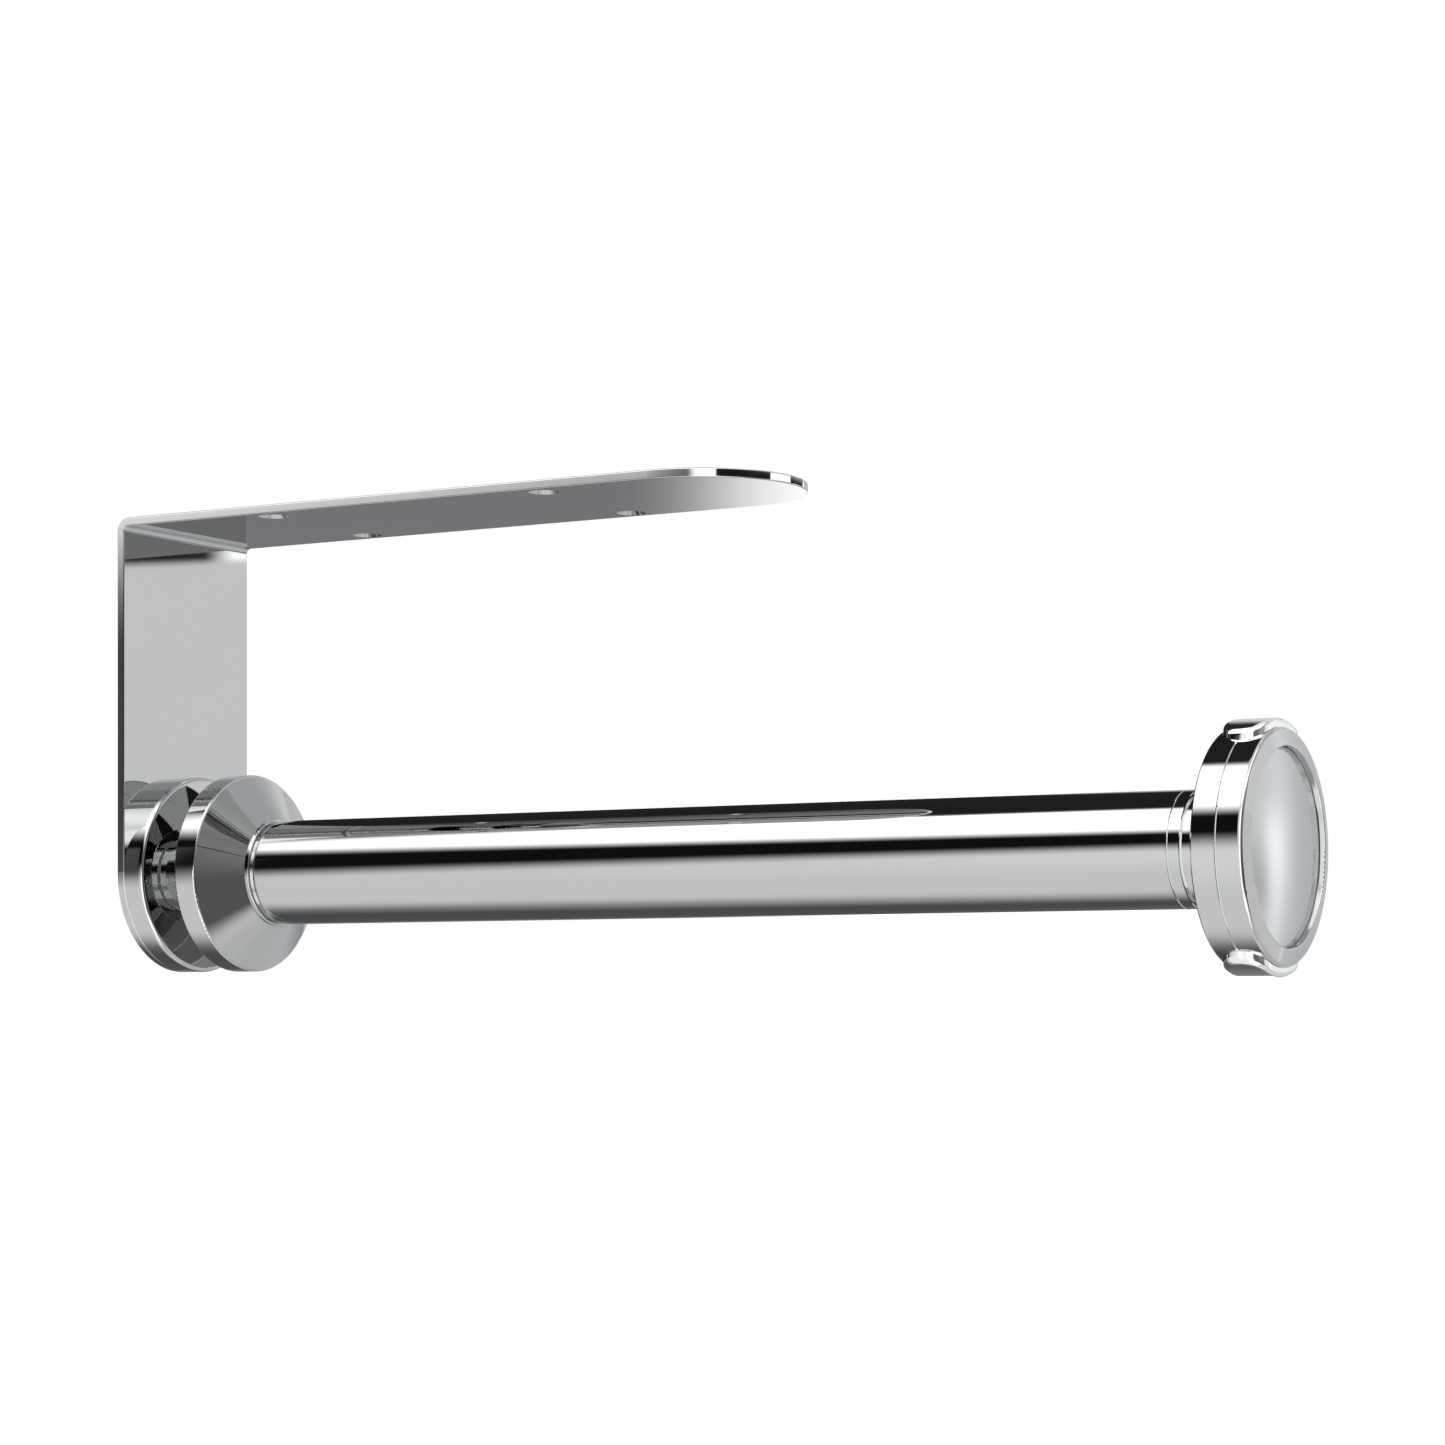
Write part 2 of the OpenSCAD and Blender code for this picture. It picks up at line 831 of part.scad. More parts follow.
mounting_bracket();
base_flange();
axle();
axle_screw();
flange_screws();
thrust_washer();
spring_washer();
end_washer();
retaining_ring();
cone_collar();
rear_bush();
front_bush();
bead_ring();
rod_tube();
end_ferrule();
end_plug();
latch_stud();
cap_rear_shell();
cap_front_shell();
cap_face();
cap_screws();
latch_ring();
top_button();
bottom_button();
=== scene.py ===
# %% [markdown]
# # Under-cabinet paper towel holder
# A bent steel strap screws up under a cabinet. A fixed axle stands on its leg, a chromed
# rod turns on that axle, and a round cap with two squeeze buttons closes the free end.
# Nearly everything is bright chrome, so the lesson is mostly about one thing: chrome has
# no colour of its own, and what the eye sees is the studio around it.

import math

import bmesh
import bpy
from mathutils import Matrix, Vector


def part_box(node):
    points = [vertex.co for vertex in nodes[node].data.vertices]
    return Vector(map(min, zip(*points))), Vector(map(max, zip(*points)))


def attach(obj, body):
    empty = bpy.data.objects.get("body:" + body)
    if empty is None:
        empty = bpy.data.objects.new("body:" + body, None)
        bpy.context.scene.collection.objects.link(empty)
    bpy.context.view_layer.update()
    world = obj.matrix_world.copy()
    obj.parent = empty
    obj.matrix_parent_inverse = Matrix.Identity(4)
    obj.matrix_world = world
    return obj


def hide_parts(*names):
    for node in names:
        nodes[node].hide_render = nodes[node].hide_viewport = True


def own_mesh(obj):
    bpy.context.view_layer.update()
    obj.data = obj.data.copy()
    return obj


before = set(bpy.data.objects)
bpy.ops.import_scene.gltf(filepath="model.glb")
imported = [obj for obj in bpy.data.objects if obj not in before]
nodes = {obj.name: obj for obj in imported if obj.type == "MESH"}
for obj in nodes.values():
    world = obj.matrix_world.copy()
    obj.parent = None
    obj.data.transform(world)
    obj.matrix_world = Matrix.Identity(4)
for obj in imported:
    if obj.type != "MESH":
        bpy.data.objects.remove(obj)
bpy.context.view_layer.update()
scene = bpy.context.scene
MM = 0.001
MICRON = 1e-6

# %% [markdown]
# ## Two small helpers
# Colours are written as the hex values that a maker reads off a sample, and a shader works
# in linear light, so one function turns the one into the other. Node trees are long lists
# of nodes, so one function adds a node with its settings and its inputs. An input is a link
# when it is given another node, and a plain value when it is given a number or a colour.

# %% Colour and node helpers
MATH = "ShaderNodeMath"
WHITE = (1, 1, 1, 1)


def linear(hex_code):
    channels = [int(hex_code[i : i + 2], 16) / 255 for i in (1, 3, 5)]
    return (*(c / 12.92 if c <= 0.04045 else ((c + 0.055) / 1.055) ** 2.4 for c in channels), 1)


def add_node(tree, kind, inputs=(), **settings):
    """Inputs are named in a dict or listed in order; each is a node, a socket or a value."""
    node = tree.nodes.new(kind)
    for name, value in settings.items():
        setattr(node, name, value)
    for key, given in inputs.items() if isinstance(inputs, dict) else enumerate(inputs):
        source = given.outputs[0] if isinstance(given, bpy.types.Node) else given
        if isinstance(source, bpy.types.NodeSocket):
            tree.links.new(source, node.inputs[key])
        else:
            node.inputs[key].default_value = source
    return node


print("chrome grey in linear light:", [round(c, 3) for c in linear("#CACBCB")])

# %% [markdown]
# ## The camera
# The holder is seen from a little below and from its free end, as it hangs over a worktop.
# The camera stands level and the frame is shifted up, as a view camera's is, so that the
# strap's leg stays upright. The lens is a short telephoto, which keeps the rod's taper low.

# %% Camera
LOOKING_TURN = math.radians(59.88)
camera = bpy.data.objects.new("camera", bpy.data.cameras.new("camera"))
scene.collection.objects.link(camera)
scene.camera = camera
camera.location = (0.52076, -0.75269, -0.13332)
looking = Vector((-math.cos(LOOKING_TURN), math.sin(LOOKING_TURN), 0))
camera.rotation_mode = "QUATERNION"
camera.rotation_quaternion = looking.to_track_quat("-Z", "Y")
camera.data.sensor_width = 36
camera.data.lens = 86.44
camera.data.shift_x = -0.0041
camera.data.shift_y = 0.2011
camera.data.clip_start = 0.01
print("camera", [round(c, 3) for c in camera.location], "lens", camera.data.lens)

# %% [markdown]
# ## The studio around the chrome
# A studio for bright metal is planned as what the metal will see. Here it is a table of
# soft-edged panels, each placed by compass angle and height angle around the holder: white
# and grey walls, black flags that draw the dark lines along the rod, and a few slits of
# light that make the rims sparkle. Only mirror-like rays see the table. Everything else,
# and the camera, sees a plain white room of strength 1, so a colour renders as written.
# The panels could be real planes, but angles are easier to plan, and they never cast a
# shadow or stand in the way when the holder is seen from another side. Most of their numbers
# were fitted by least squares to the tones that the real chrome shows.

# %% Panels: angle, half width, low, high, soft sides, soft low, soft high, level, tilt, blue
ROOM_LEVEL, ROOM_BLUE = 0.872, 0.02
PANELS = {
    "flag over the pads": (-84.0, 16.1, 32.0, 62.1, 10.0, 8.0, 8.0, 0.16, 0, 0.0),
    "front floor": (-102.0, 12.8, -33.7, 26.6, 40.2, 28.4, 10.3, 1.12, -0.04, 0.0),
    "side window": (-55.0, 18.4, -59.7, 58.7, 5.5, 15.0, 13.3, 1.92, 0, 0.02),
    "high wall": (-6.5, 42.3, 20.2, 63.7, 14.8, 9.8, 12.2, 2.33, 0, 0.0),
    "low wall": (-28.9, 18.6, -73.0, -23.8, 13.5, 9.4, 11.0, 1.84, 0, 0.0),
    "grey floor": (11.1, 22.1, -92.0, -40.9, 20.9, 2.0, 9.8, 0.65, 0, 0.0),
    "upper right wall": (40.8, 45.2, 25.2, 52.8, 43.9, 12.7, 6.8, 0.52, 0, 0.06),
    "lower right wall": (86.8, 61.5, -67.9, -11.4, 64.4, 24.3, 30.3, 0.64, -0.22, 0.04),
    "dark aisle": (-11.9, 31.6, -34.5, 37.1, 10.7, 10.7, 25.5, 0.13, 0, 0.0),
    "grey veil": (6.9, 17.7, 2.1, 27.0, 16.8, 15.5, 20.7, 0.37, 0, 0.0),
    "glow beside strip": (74.6, 11.2, -1.3, 13.4, 8.5, 21.0, 19.8, 1.34, 0, 0.05),
    "end strip light": (62.7, 3.7, -3.8, 5.1, 2.1, 25.2, 5.2, 1.97, 0, 0.04),
    "end grey": (91.3, 23.4, -23.7, 16.4, 19.9, 31.7, 23.0, 0.62, 0, 0.06),
    "corner flag": (51.4, 8.6, -12.7, 0.9, 6.6, 4.7, 7.4, 0.27, 0, 0.06),
    "black back wall": (149.4, 41.2, -2.7, 95.0, 19.5, 4.0, 2.0, 0.02, 0, 0.0),
    "wall over the pads": (105.3, 9.4, 8.1, 60.0, 4.2, 8.1, 8.0, 0.66, 0, 0.0),
    "dark back floor": (146.0, 41.8, -65.0, -3.9, 38.3, 36.2, 6.2, 0.1, 0.2, 0.1),
    "white back gap": (115.3, 5.9, -14.0, -4.5, 3.4, 6.0, 4.5, 1.54, 0, 0.0),
    "grey back gap": (126.1, 6.2, -17.6, -3.0, 5.0, 7.1, 4.0, 0.21, 0, 0.08),
}
print(len(PANELS), "panels, the brightest at", max(row[7] for row in PANELS.values()))

# %% A soft-edged patch
ABOVE, BELOW = (0, 1), (1, 0)


def soft_patch(tree, borders):
    """1 where each measure is on the named side of its edge, 0 elsewhere, soft in between."""
    patch = None
    for measure, edge, softness, (before, after) in borders:
        side = add_node(
            tree,
            "ShaderNodeMapRange",
            {
                "Value": measure,
                "From Min": edge - softness / 2,
                "From Max": edge + softness / 2,
                "To Min": before,
                "To Max": after,
            },
            interpolation_type="SMOOTHSTEP",
        )
        if patch is None:
            patch = side
        else:
            patch = add_node(tree, MATH, (patch, side), operation="MULTIPLY")
    return patch


# %% World tree
GREEN_SHARE = 0.4


def tinted(level, blue):
    """A grey pushed towards blue; its green is lifted by a share of the blue."""
    return (level, level * (1 + GREEN_SHARE * blue), level * (1 + blue), 1)


world = bpy.data.worlds.new("studio")
scene.world = world
world.use_nodes = True
room = world.node_tree
room.nodes.clear()
direction = add_node(room, "ShaderNodeTexCoord").outputs["Generated"]
axes = add_node(room, "ShaderNodeSeparateXYZ", (direction,)).outputs
bearing = add_node(room, MATH, (axes["Y"], axes["X"]), operation="ARCTAN2")
compass = add_node(room, MATH, (bearing,), operation="DEGREES")
climb = add_node(room, MATH, (axes["Z"],), operation="ARCSINE")
height = add_node(room, MATH, (climb,), operation="DEGREES")
light = tinted(ROOM_LEVEL, ROOM_BLUE)
for name, row in PANELS.items():
    angle, half, low, high, soft_side, soft_low, soft_high, level, tilt, blue = row
    past = add_node(room, MATH, (compass, angle), operation="SUBTRACT")
    turned = add_node(room, MATH, (past, 180, -180), operation="WRAP")
    from_middle = add_node(room, MATH, (turned,), operation="ABSOLUTE")
    lean = add_node(room, MATH, (turned, tilt), operation="MULTIPLY")
    over_lean = add_node(room, MATH, (height, lean), operation="SUBTRACT")
    inside = soft_patch(
        room,
        (
            (from_middle, half, soft_side, BELOW),
            (over_lean, low, soft_low, ABOVE),
            (height, high, soft_high, BELOW),
        ),
    )
    light = add_node(
        room,
        "ShaderNodeMix",
        {"Factor": inside, "A": light, "B": tinted(level, blue)},
        data_type="RGBA",
        label=name,
    ).outputs["Result"]
rays = add_node(room, "ShaderNodeLightPath").outputs
seen = add_node(
    room,
    "ShaderNodeMix",
    {"Factor": rays["Is Glossy Ray"], "A": WHITE, "B": light},
    data_type="RGBA",
).outputs["Result"]
background = add_node(room, "ShaderNodeBackground", {"Color": seen, "Strength": 1.0})
add_node(room, "ShaderNodeOutputWorld", {"Surface": background})
print(len(room.nodes), "world nodes")

# %% [markdown]
# ## The near lights
# Some lights are too near to be a matter of angles. A tall softbox stands close in front of
# the rod with a large black flag behind it, and a small dark grey fill card stands before
# the flag's left end for the leg's narrow side. The strap is level with the softbox's lower
# edge and the rod is well below it, so each sees a different part: it makes the rod's long
# white band over a black one, while the strap's edge stays pale grey. Each is a plane whose
# brightness fades at its borders, and only mirror-like rays see it. A small pale card close
# beside the cap hides the corner flag from the cap's ring, which would otherwise show a dark
# patch. The cards are placed from the frame's origin, which lies in the cabinet's face.


# %% A card's glow
def new_material(name):
    made = bpy.data.materials.new(name)
    made.use_nodes = True
    made.node_tree.nodes.clear()
    return made, made.node_tree


def glowing(name, mask, strength):
    """Glows where the mask is 1 and is clear where it is 0; both are worked out by place."""
    made, tree = new_material(name)
    place = add_node(tree, "ShaderNodeTexCoord").outputs["Object"]
    level = strength(tree, place) if callable(strength) else strength
    glow = add_node(tree, "ShaderNodeEmission", {"Color": WHITE, "Strength": level})
    clear = add_node(tree, "ShaderNodeBsdfTransparent")
    mixed = add_node(tree, "ShaderNodeMixShader", (mask(tree, place), clear, glow))
    add_node(tree, "ShaderNodeOutputMaterial", {"Surface": mixed})
    return made


# %% A card on the stage
def stage_card(name, points, faces, material):
    mesh = bpy.data.meshes.new(name)
    mesh.from_pydata(points, [], faces)
    mesh.materials.append(material)
    card = bpy.data.objects.new(name, mesh)
    scene.collection.objects.link(card)
    for ray in ("camera", "diffuse", "transmission", "volume_scatter", "shadow"):
        setattr(card, "visible_" + ray, False)


def near_card(name, angle, away, sides, heights, climbs, softness, level):
    """A plane facing the holder. Climbs are how fast its two level borders rise sideways."""
    out = Vector((math.cos(math.radians(angle)), math.sin(math.radians(angle)), 0))
    side = Vector((-out.y, out.x, 0))
    (left, right), (low, high) = sides, heights
    soft_side, soft_low, soft_high = softness

    def mask(tree, place):
        dot = add_node(tree, "ShaderNodeVectorMath", (place, side), operation="DOT_PRODUCT")
        along = dot.outputs["Value"]
        up = add_node(tree, "ShaderNodeSeparateXYZ", (place,)).outputs["Z"]
        over = []
        for rate in climbs:
            border = add_node(tree, MATH, (along, rate), operation="MULTIPLY")
            over.append(add_node(tree, MATH, (up, border), operation="SUBTRACT"))
        return soft_patch(
            tree,
            (
                (along, left, soft_side, ABOVE),
                (along, right, soft_side, BELOW),
                (over[0], low, soft_low, ABOVE),
                (over[1], high, soft_high, BELOW),
            ),
        )

    ends = (left - soft_side, right + soft_side)
    bottom = min(low + climbs[0] * end for end in ends) - soft_low
    top = max(high + climbs[1] * end for end in ends) + soft_high
    corners = ((ends[0], bottom), (ends[1], bottom), (ends[1], top), (ends[0], top))
    points = [out * away + side * u + Vector((0, 0, z)) for u, z in corners]
    stage_card(name, points, [(0, 1, 2, 3)], glowing(name, mask, level))
    print(name, away, "m away, lower border", low, "m from the cabinet's face")


# %% Softbox, fill card, black flag and cap card, in metres and degrees
NEAR_CARDS = {
    "softbox": {
        "angle": -110.76,
        "away": 0.1593,
        "sides": (-0.1742, 0.3500),
        "heights": (0.0267, 0.7849),
        "climbs": (0.1254, 0.0),
        "softness": (0.1057, 0.0749, 0.5027),
        "level": 2.07,
    },
    "fill card": {
        "angle": -102.46,
        "away": 0.2230,
        "sides": (-0.2729, -0.1652),
        "heights": (-0.0992, 0.0007),
        "climbs": (-0.0213, 0.0),
        "softness": (0.0339, 0.0386, 0.0152),
        "level": 0.092,
    },
    "black flag": {
        "angle": -103.03,
        "away": 0.2274,
        "sides": (-0.5446, 0.2388),
        "heights": (-0.0949, 0.7261),
        "climbs": (0.0951, 0.0),
        "softness": (0.0811, 0.0917, 0.2897),
        "level": 0.007,
    },
    "cap card": {
        "angle": 51.0,
        "away": 0.281,
        "sides": (-0.225, -0.150),
        "heights": (-0.155, -0.310),
        "climbs": (0.0, -1.125),
        "softness": (0.004, 0.010, 0.008),
        "level": 0.80,
    },
}
for name, card in NEAR_CARDS.items():
    near_card(name, **card)

# %% [markdown]
# ## The card behind the strap's round end
# A rounded edge of polished metal shows a whole sweep of the room in a few millimetres. A
# plain wall there would leave it dull, so a low curved card stands behind it, black, white,
# black and white in turn. It gives the edge the crisp change that tells the eye it is
# polished. The card is an arc about the middle of the strap's end.

# %% Where the end card stands
strap_low, strap_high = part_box("mounting_bracket")
TIP_X = strap_high.x - (strap_high.y - strap_low.y) / 2
END_CARD_AWAY = 0.30
END_CARD_TURNS = (-44.5, 83)
END_CARD_STEPS = 36
END_CARD_LOW, END_CARD_HIGH, END_CARD_SOFT = 0.037, 0.046, 0.004
END_WHITE_GAIN, END_BLACK_LEVEL = 1.75, 0.012
first, last = END_CARD_TURNS
turns = [
    math.radians(first + (last - first) * k / END_CARD_STEPS) for k in range(END_CARD_STEPS + 1)
]
arc = [(TIP_X + END_CARD_AWAY * math.cos(a), END_CARD_AWAY * math.sin(a)) for a in turns]
points = [(x, y, z) for z in (END_CARD_LOW, END_CARD_HIGH) for x, y in arc]
faces = [(k, k + 1, k + 1 + len(arc), k + len(arc)) for k in range(END_CARD_STEPS)]
print("end card round x =", round(TIP_X / MM, 1), "mm with", len(faces), "faces")


# %% The end card's tones, in degrees round the strap's end
END_MIDDLE_WHITE, END_MIDDLE_SOFT = (17.2, 48.7), 2
END_RIGHT_WHITE, END_RIGHT_SOFT = 79.1, 3


def end_card_tones(tree, place):
    axes = add_node(tree, "ShaderNodeSeparateXYZ", (place,)).outputs
    from_tip = add_node(tree, MATH, (axes["X"], TIP_X), operation="SUBTRACT")
    bearing = add_node(tree, MATH, (axes["Y"], from_tip), operation="ARCTAN2")
    turned = add_node(tree, MATH, (bearing,), operation="DEGREES")
    start, stop = END_MIDDLE_WHITE
    middle = soft_patch(
        tree, ((turned, start, END_MIDDLE_SOFT, ABOVE), (turned, stop, END_MIDDLE_SOFT, BELOW))
    )
    right = soft_patch(tree, ((turned, END_RIGHT_WHITE, END_RIGHT_SOFT, ABOVE),))
    white = add_node(tree, MATH, (middle, right), operation="ADD")
    tones = (white, END_WHITE_GAIN, END_BLACK_LEVEL)
    return add_node(tree, MATH, tones, operation="MULTIPLY_ADD").outputs[0]


def end_card_mask(tree, place):
    up = add_node(tree, "ShaderNodeSeparateXYZ", (place,)).outputs["Z"]
    inner_low, inner_high = END_CARD_LOW + END_CARD_SOFT / 2, END_CARD_HIGH - END_CARD_SOFT / 2
    return soft_patch(
        tree, ((up, inner_low, END_CARD_SOFT, ABOVE), (up, inner_high, END_CARD_SOFT, BELOW))
    )


stage_card("end card", points, faces, glowing("end card", end_card_mask, end_card_tones))
print("end card is", round((END_CARD_HIGH - END_CARD_LOW) / MM, 1), "mm high")

# %% [markdown]
# ## The floor
# A pale floor lies well below, as a worktop does under a cabinet. It is a plain matt white
# that the room lights to just under white, and a touch of glow for the camera takes it the
# rest of the way, so it meets the background and still keeps the holder's soft shadow.

# %% Floor
FLOOR_Z = -0.62
FLOOR_REACH = 9
FLOOR_GLOW = 0.16
sides = ((-1, -1), (1, -1), (1, 1), (-1, 1))
floor_mesh = bpy.data.meshes.new("floor")
floor_mesh.from_pydata(
    [(x * FLOOR_REACH, y * FLOOR_REACH, FLOOR_Z) for x, y in sides], [], [(0, 1, 2, 3)]
)
floor = bpy.data.objects.new("floor", floor_mesh)
scene.collection.objects.link(floor)
paint, coat = new_material("matt white floor")
spot = add_node(coat, "ShaderNodeTexCoord").outputs["Object"]
grain = add_node(coat, "ShaderNodeTexNoise", {"Vector": spot, "Scale": 3.0, "Detail": 2.0})
shade = add_node(
    coat,
    "ShaderNodeMix",
    {"Factor": grain, "A": linear("#EEEEEE"), "B": linear("#F0F0F0")},
    data_type="RGBA",
)
matt = add_node(coat, "ShaderNodeBsdfDiffuse", {"Color": shade.outputs["Result"]})
to_camera = add_node(coat, "ShaderNodeLightPath").outputs["Is Camera Ray"]
glow_for_camera = add_node(coat, MATH, (to_camera, FLOOR_GLOW), operation="MULTIPLY")
lift = add_node(coat, "ShaderNodeEmission", {"Color": WHITE, "Strength": glow_for_camera})
both = add_node(coat, "ShaderNodeAddShader", (matt, lift))
add_node(coat, "ShaderNodeOutputMaterial", {"Surface": both})
floor_mesh.materials.append(paint)
floor.visible_glossy = False
print("floor at", FLOOR_Z, "m")

# %% [markdown]
# ## Polished chrome
# Decorative chrome is a bright nickel layer under a third of a micron of chromium, over
# steel that has been ground and buffed. It gives back about 60 % of the light, a little
# less in the red. What is left of its making is small: a very faint orange peel from the
# nickel bath, 6 mm from crest to crest, and the buffing wheel's fine lines, which only show
# as a slight change of sharpness. The real lines are some 20 microns apart. They are drawn at
# 0.35 mm so that they can show at all.

# %% Metal maker
TONE_DRIFT_MM = 25


def metal(name, dark, light, smooth, rough, peel_mm, peel_um, grain_mm, grain_um):
    """A metal whose tone drifts slowly, over a swell of peel_mm and fine lines of grain_mm."""
    made, tree = new_material(name)
    at = add_node(tree, "ShaderNodeTexCoord").outputs["Object"]
    drift = {"Vector": at, "Scale": 1 / (TONE_DRIFT_MM * MM), "Detail": 2.0}
    tone = add_node(tree, "ShaderNodeTexNoise", drift)
    colour = add_node(
        tree,
        "ShaderNodeMix",
        {"Factor": tone, "A": linear(dark), "B": linear(light)},
        data_type="RGBA",
    )
    fine = {"Vector": at, "Scale": 1 / (grain_mm * MM), "Detail": 3.0, "Roughness": 0.6}
    lines = add_node(tree, "ShaderNodeTexNoise", fine)
    sharpness = add_node(
        tree, "ShaderNodeMapRange", {"Value": lines, "To Min": smooth, "To Max": rough}
    )
    broad = {"Vector": at, "Scale": 1 / (peel_mm * MM), "Detail": 1.0}
    peel = add_node(tree, "ShaderNodeTexNoise", broad)
    swell = add_node(
        tree,
        "ShaderNodeBump",
        {"Height": peel, "Strength": 1.0, "Distance": peel_um * MICRON},
    )
    marks = add_node(
        tree,
        "ShaderNodeBump",
        {"Height": lines, "Normal": swell, "Strength": 1.0, "Distance": grain_um * MICRON},
    )
    shader = add_node(
        tree,
        "ShaderNodeBsdfPrincipled",
        {
            "Base Color": colour.outputs["Result"],
            "Roughness": sharpness,
            "Normal": marks,
            "Metallic": 1.0,
        },
    )
    add_node(tree, "ShaderNodeOutputMaterial", {"Surface": shader})
    print(name, "roughness", smooth, "to", rough)
    return made


# %% Polished chrome
polished_chrome = metal(
    "polished chrome plate",
    dark="#CACBCB",
    light="#CCCDCD",
    smooth=0.02,
    rough=0.04,
    peel_mm=6,
    peel_um=1.2,
    grain_mm=0.35,
    grain_um=0.002,
)

# %% [markdown]
# ## The pads' brightened chrome
# The two squeeze pads are cast in zinc and chrome plated. Their material is a copy of the chrome
# made brighter and a little warmer, close to silver: painted light, so that the same studio
# looks lighter in them. It is buffed as the chrome is, and its lines are drawn as coarse.

# %% Brightened pad chrome, painted light
# A brighter copy of the polished chrome, which paints extra light into the pads
brightened_pad_chrome = metal(
    "brightened pad chrome",
    dark="#F7F7F3",
    light="#F9F9F6",
    smooth=0.02,
    rough=0.04,
    peel_mm=6,
    peel_um=1.0,
    grain_mm=0.35,
    grain_um=0.002,
)

# %% [markdown]
# ## Satin chrome
# The cap's round face is the same plating over a blasted surface. Fine pits some 0.1 mm
# across soften every reflection, so the face shows a glow where the rest shows edges. The
# pits are drawn at 0.2 mm.

# %% Satin chrome
satin_chrome = metal(
    "satin chrome plate",
    dark="#C9CBCA",
    light="#CCCDCD",
    smooth=0.14,
    rough=0.18,
    peel_mm=9,
    peel_um=1.0,
    grain_mm=0.2,
    grain_um=0.05,
)

# %% [markdown]
# ## Plain steel and acetal
# The hidden running pieces are turned steel, washed with zinc, which is duller and rougher
# than chrome; a lathe's finishing cut leaves marks about 0.3 mm apart. The front bush and the
# latch ring are acetal, a milky, slightly waxy plastic with the soft skin of an injection
# mould. The mould's own texture is finer than 0.1 mm and is drawn at 0.4 mm.

# %% Steel
plain_steel = metal(
    "zinc washed steel",
    dark="#A6AAAE",
    light="#B9BCC0",
    smooth=0.26,
    rough=0.38,
    peel_mm=5,
    peel_um=2.0,
    grain_mm=0.3,
    grain_um=0.4,
)

# %% Acetal
ACETAL_CLOUD_MM = 8
ACETAL_SKIN_MM = 0.4
ACETAL_SKIN_UM = 3


def moulded_acetal():
    made, tree = new_material("moulded acetal")
    at = add_node(tree, "ShaderNodeTexCoord").outputs["Object"]
    milky = {"Vector": at, "Scale": 1 / (ACETAL_CLOUD_MM * MM), "Detail": 3.0}
    cloud = add_node(tree, "ShaderNodeTexNoise", milky)
    colour = add_node(
        tree,
        "ShaderNodeMix",
        {"Factor": cloud, "A": linear("#E3E0D8"), "B": linear("#EBE9E3")},
        data_type="RGBA",
    )
    mould = {"Vector": at, "Scale": 1 / (ACETAL_SKIN_MM * MM), "Detail": 2.0}
    skin = add_node(tree, "ShaderNodeTexNoise", mould)
    sharpness = add_node(
        tree, "ShaderNodeMapRange", {"Value": skin, "To Min": 0.36, "To Max": 0.5}
    )
    grain = add_node(
        tree,
        "ShaderNodeBump",
        {"Height": skin, "Strength": 1.0, "Distance": ACETAL_SKIN_UM * MICRON},
    )
    shader = add_node(
        tree,
        "ShaderNodeBsdfPrincipled",
        {
            "Base Color": colour.outputs["Result"],
            "Roughness": sharpness,
            "Normal": grain,
            "IOR": 1.48,
            "Subsurface Weight": 0.08,
            "Subsurface Radius": (0.002, 0.0016, 0.0012),
        },
    )
    add_node(tree, "ShaderNodeOutputMaterial", {"Surface": shader})
    return made


acetal = moulded_acetal()
print(acetal.name, len(acetal.node_tree.nodes), "nodes")

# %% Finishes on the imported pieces
FINISHES = {
    "polished_chrome": polished_chrome,
    "satin_chrome": satin_chrome,
    "plain_steel": plain_steel,
    "acetal": acetal,
}
for node in nodes.values():
    slot_name = node.data.materials[0].name
    node.data.materials[0] = FINISHES[slot_name]
print("materials on", len(nodes), "pieces")

# %% [markdown]
# ## Squeeze buttons
# Each button is a pad that follows the cap's curve. Its outline is a rounded rectangle and
# one soft edge of 1.2 mm runs all the way round it, corners included, which a lathe or
# a straight bevel can't give. So the pad is lofted: the outline is drawn once, and each ring
# of the loft is that outline drawn in and laid on a cylinder about the rod. The shank
# and the foot that push the latch ring are two blocks welded on below it.

# %% Button sizes
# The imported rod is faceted, so its box puts the axis 0.013 mm low, too little to matter here
rod_low, rod_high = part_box("rod_tube")
AXIS_Y = (rod_low.y + rod_high.y) / 2
AXIS_Z = (rod_low.z + rod_high.z) / 2
cap_low, cap_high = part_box("cap_rear_shell")
pad_low, pad_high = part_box("top_button")
CAP_R = (cap_high.z - cap_low.z) / 2
PAD_R = min(pad_high.z - AXIS_Z, AXIS_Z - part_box("bottom_button")[0].z)
PAD_X = (pad_low.x + pad_high.x) / 2
PAD_HALF_X = (pad_high.x - pad_low.x) / 2
PAD_HALF_Y = 13.7 * MM
PAD_CORNER = 5.4 * MM
PAD_EDGE = 1.2 * MM
PAD_IN_R = CAP_R - 2.1 * MM
print("pad", round(PAD_HALF_X / MM * 2, 2), "by", PAD_HALF_Y / MM * 2, "mm")

# %% The pad's outline
ARC_STEPS = 12
LONG_SIDE_STEPS = 24


def outline(inset):
    """The (y, x) points of the pad drawn in by inset; only its long sides have to bend."""
    half_y, half_x, corner = (PAD_HALF_Y - inset, PAD_HALF_X - inset, PAD_CORNER - inset)
    arcs = []
    for quarter, (sy, sx) in enumerate(((1, 1), (-1, 1), (-1, -1), (1, -1))):
        middle = (sy * (half_y - corner), sx * (half_x - corner))
        turns = [math.pi / 2 * (quarter + k / ARC_STEPS) for k in range(ARC_STEPS + 1)]
        arcs.append(
            [(middle[0] + corner * math.cos(a), middle[1] + corner * math.sin(a)) for a in turns]
        )
    points = []
    for quarter, arc in enumerate(arcs):
        points += arc
        (y0, x0), (y1, x1) = arc[-1], arcs[(quarter + 1) % 4][0]
        steps = LONG_SIDE_STEPS if quarter % 2 == 0 else 1
        shares = [k / steps for k in range(1, steps)]
        points += [(y0 + (y1 - y0) * t, x0 + (x1 - x0) * t) for t in shares]
    return points


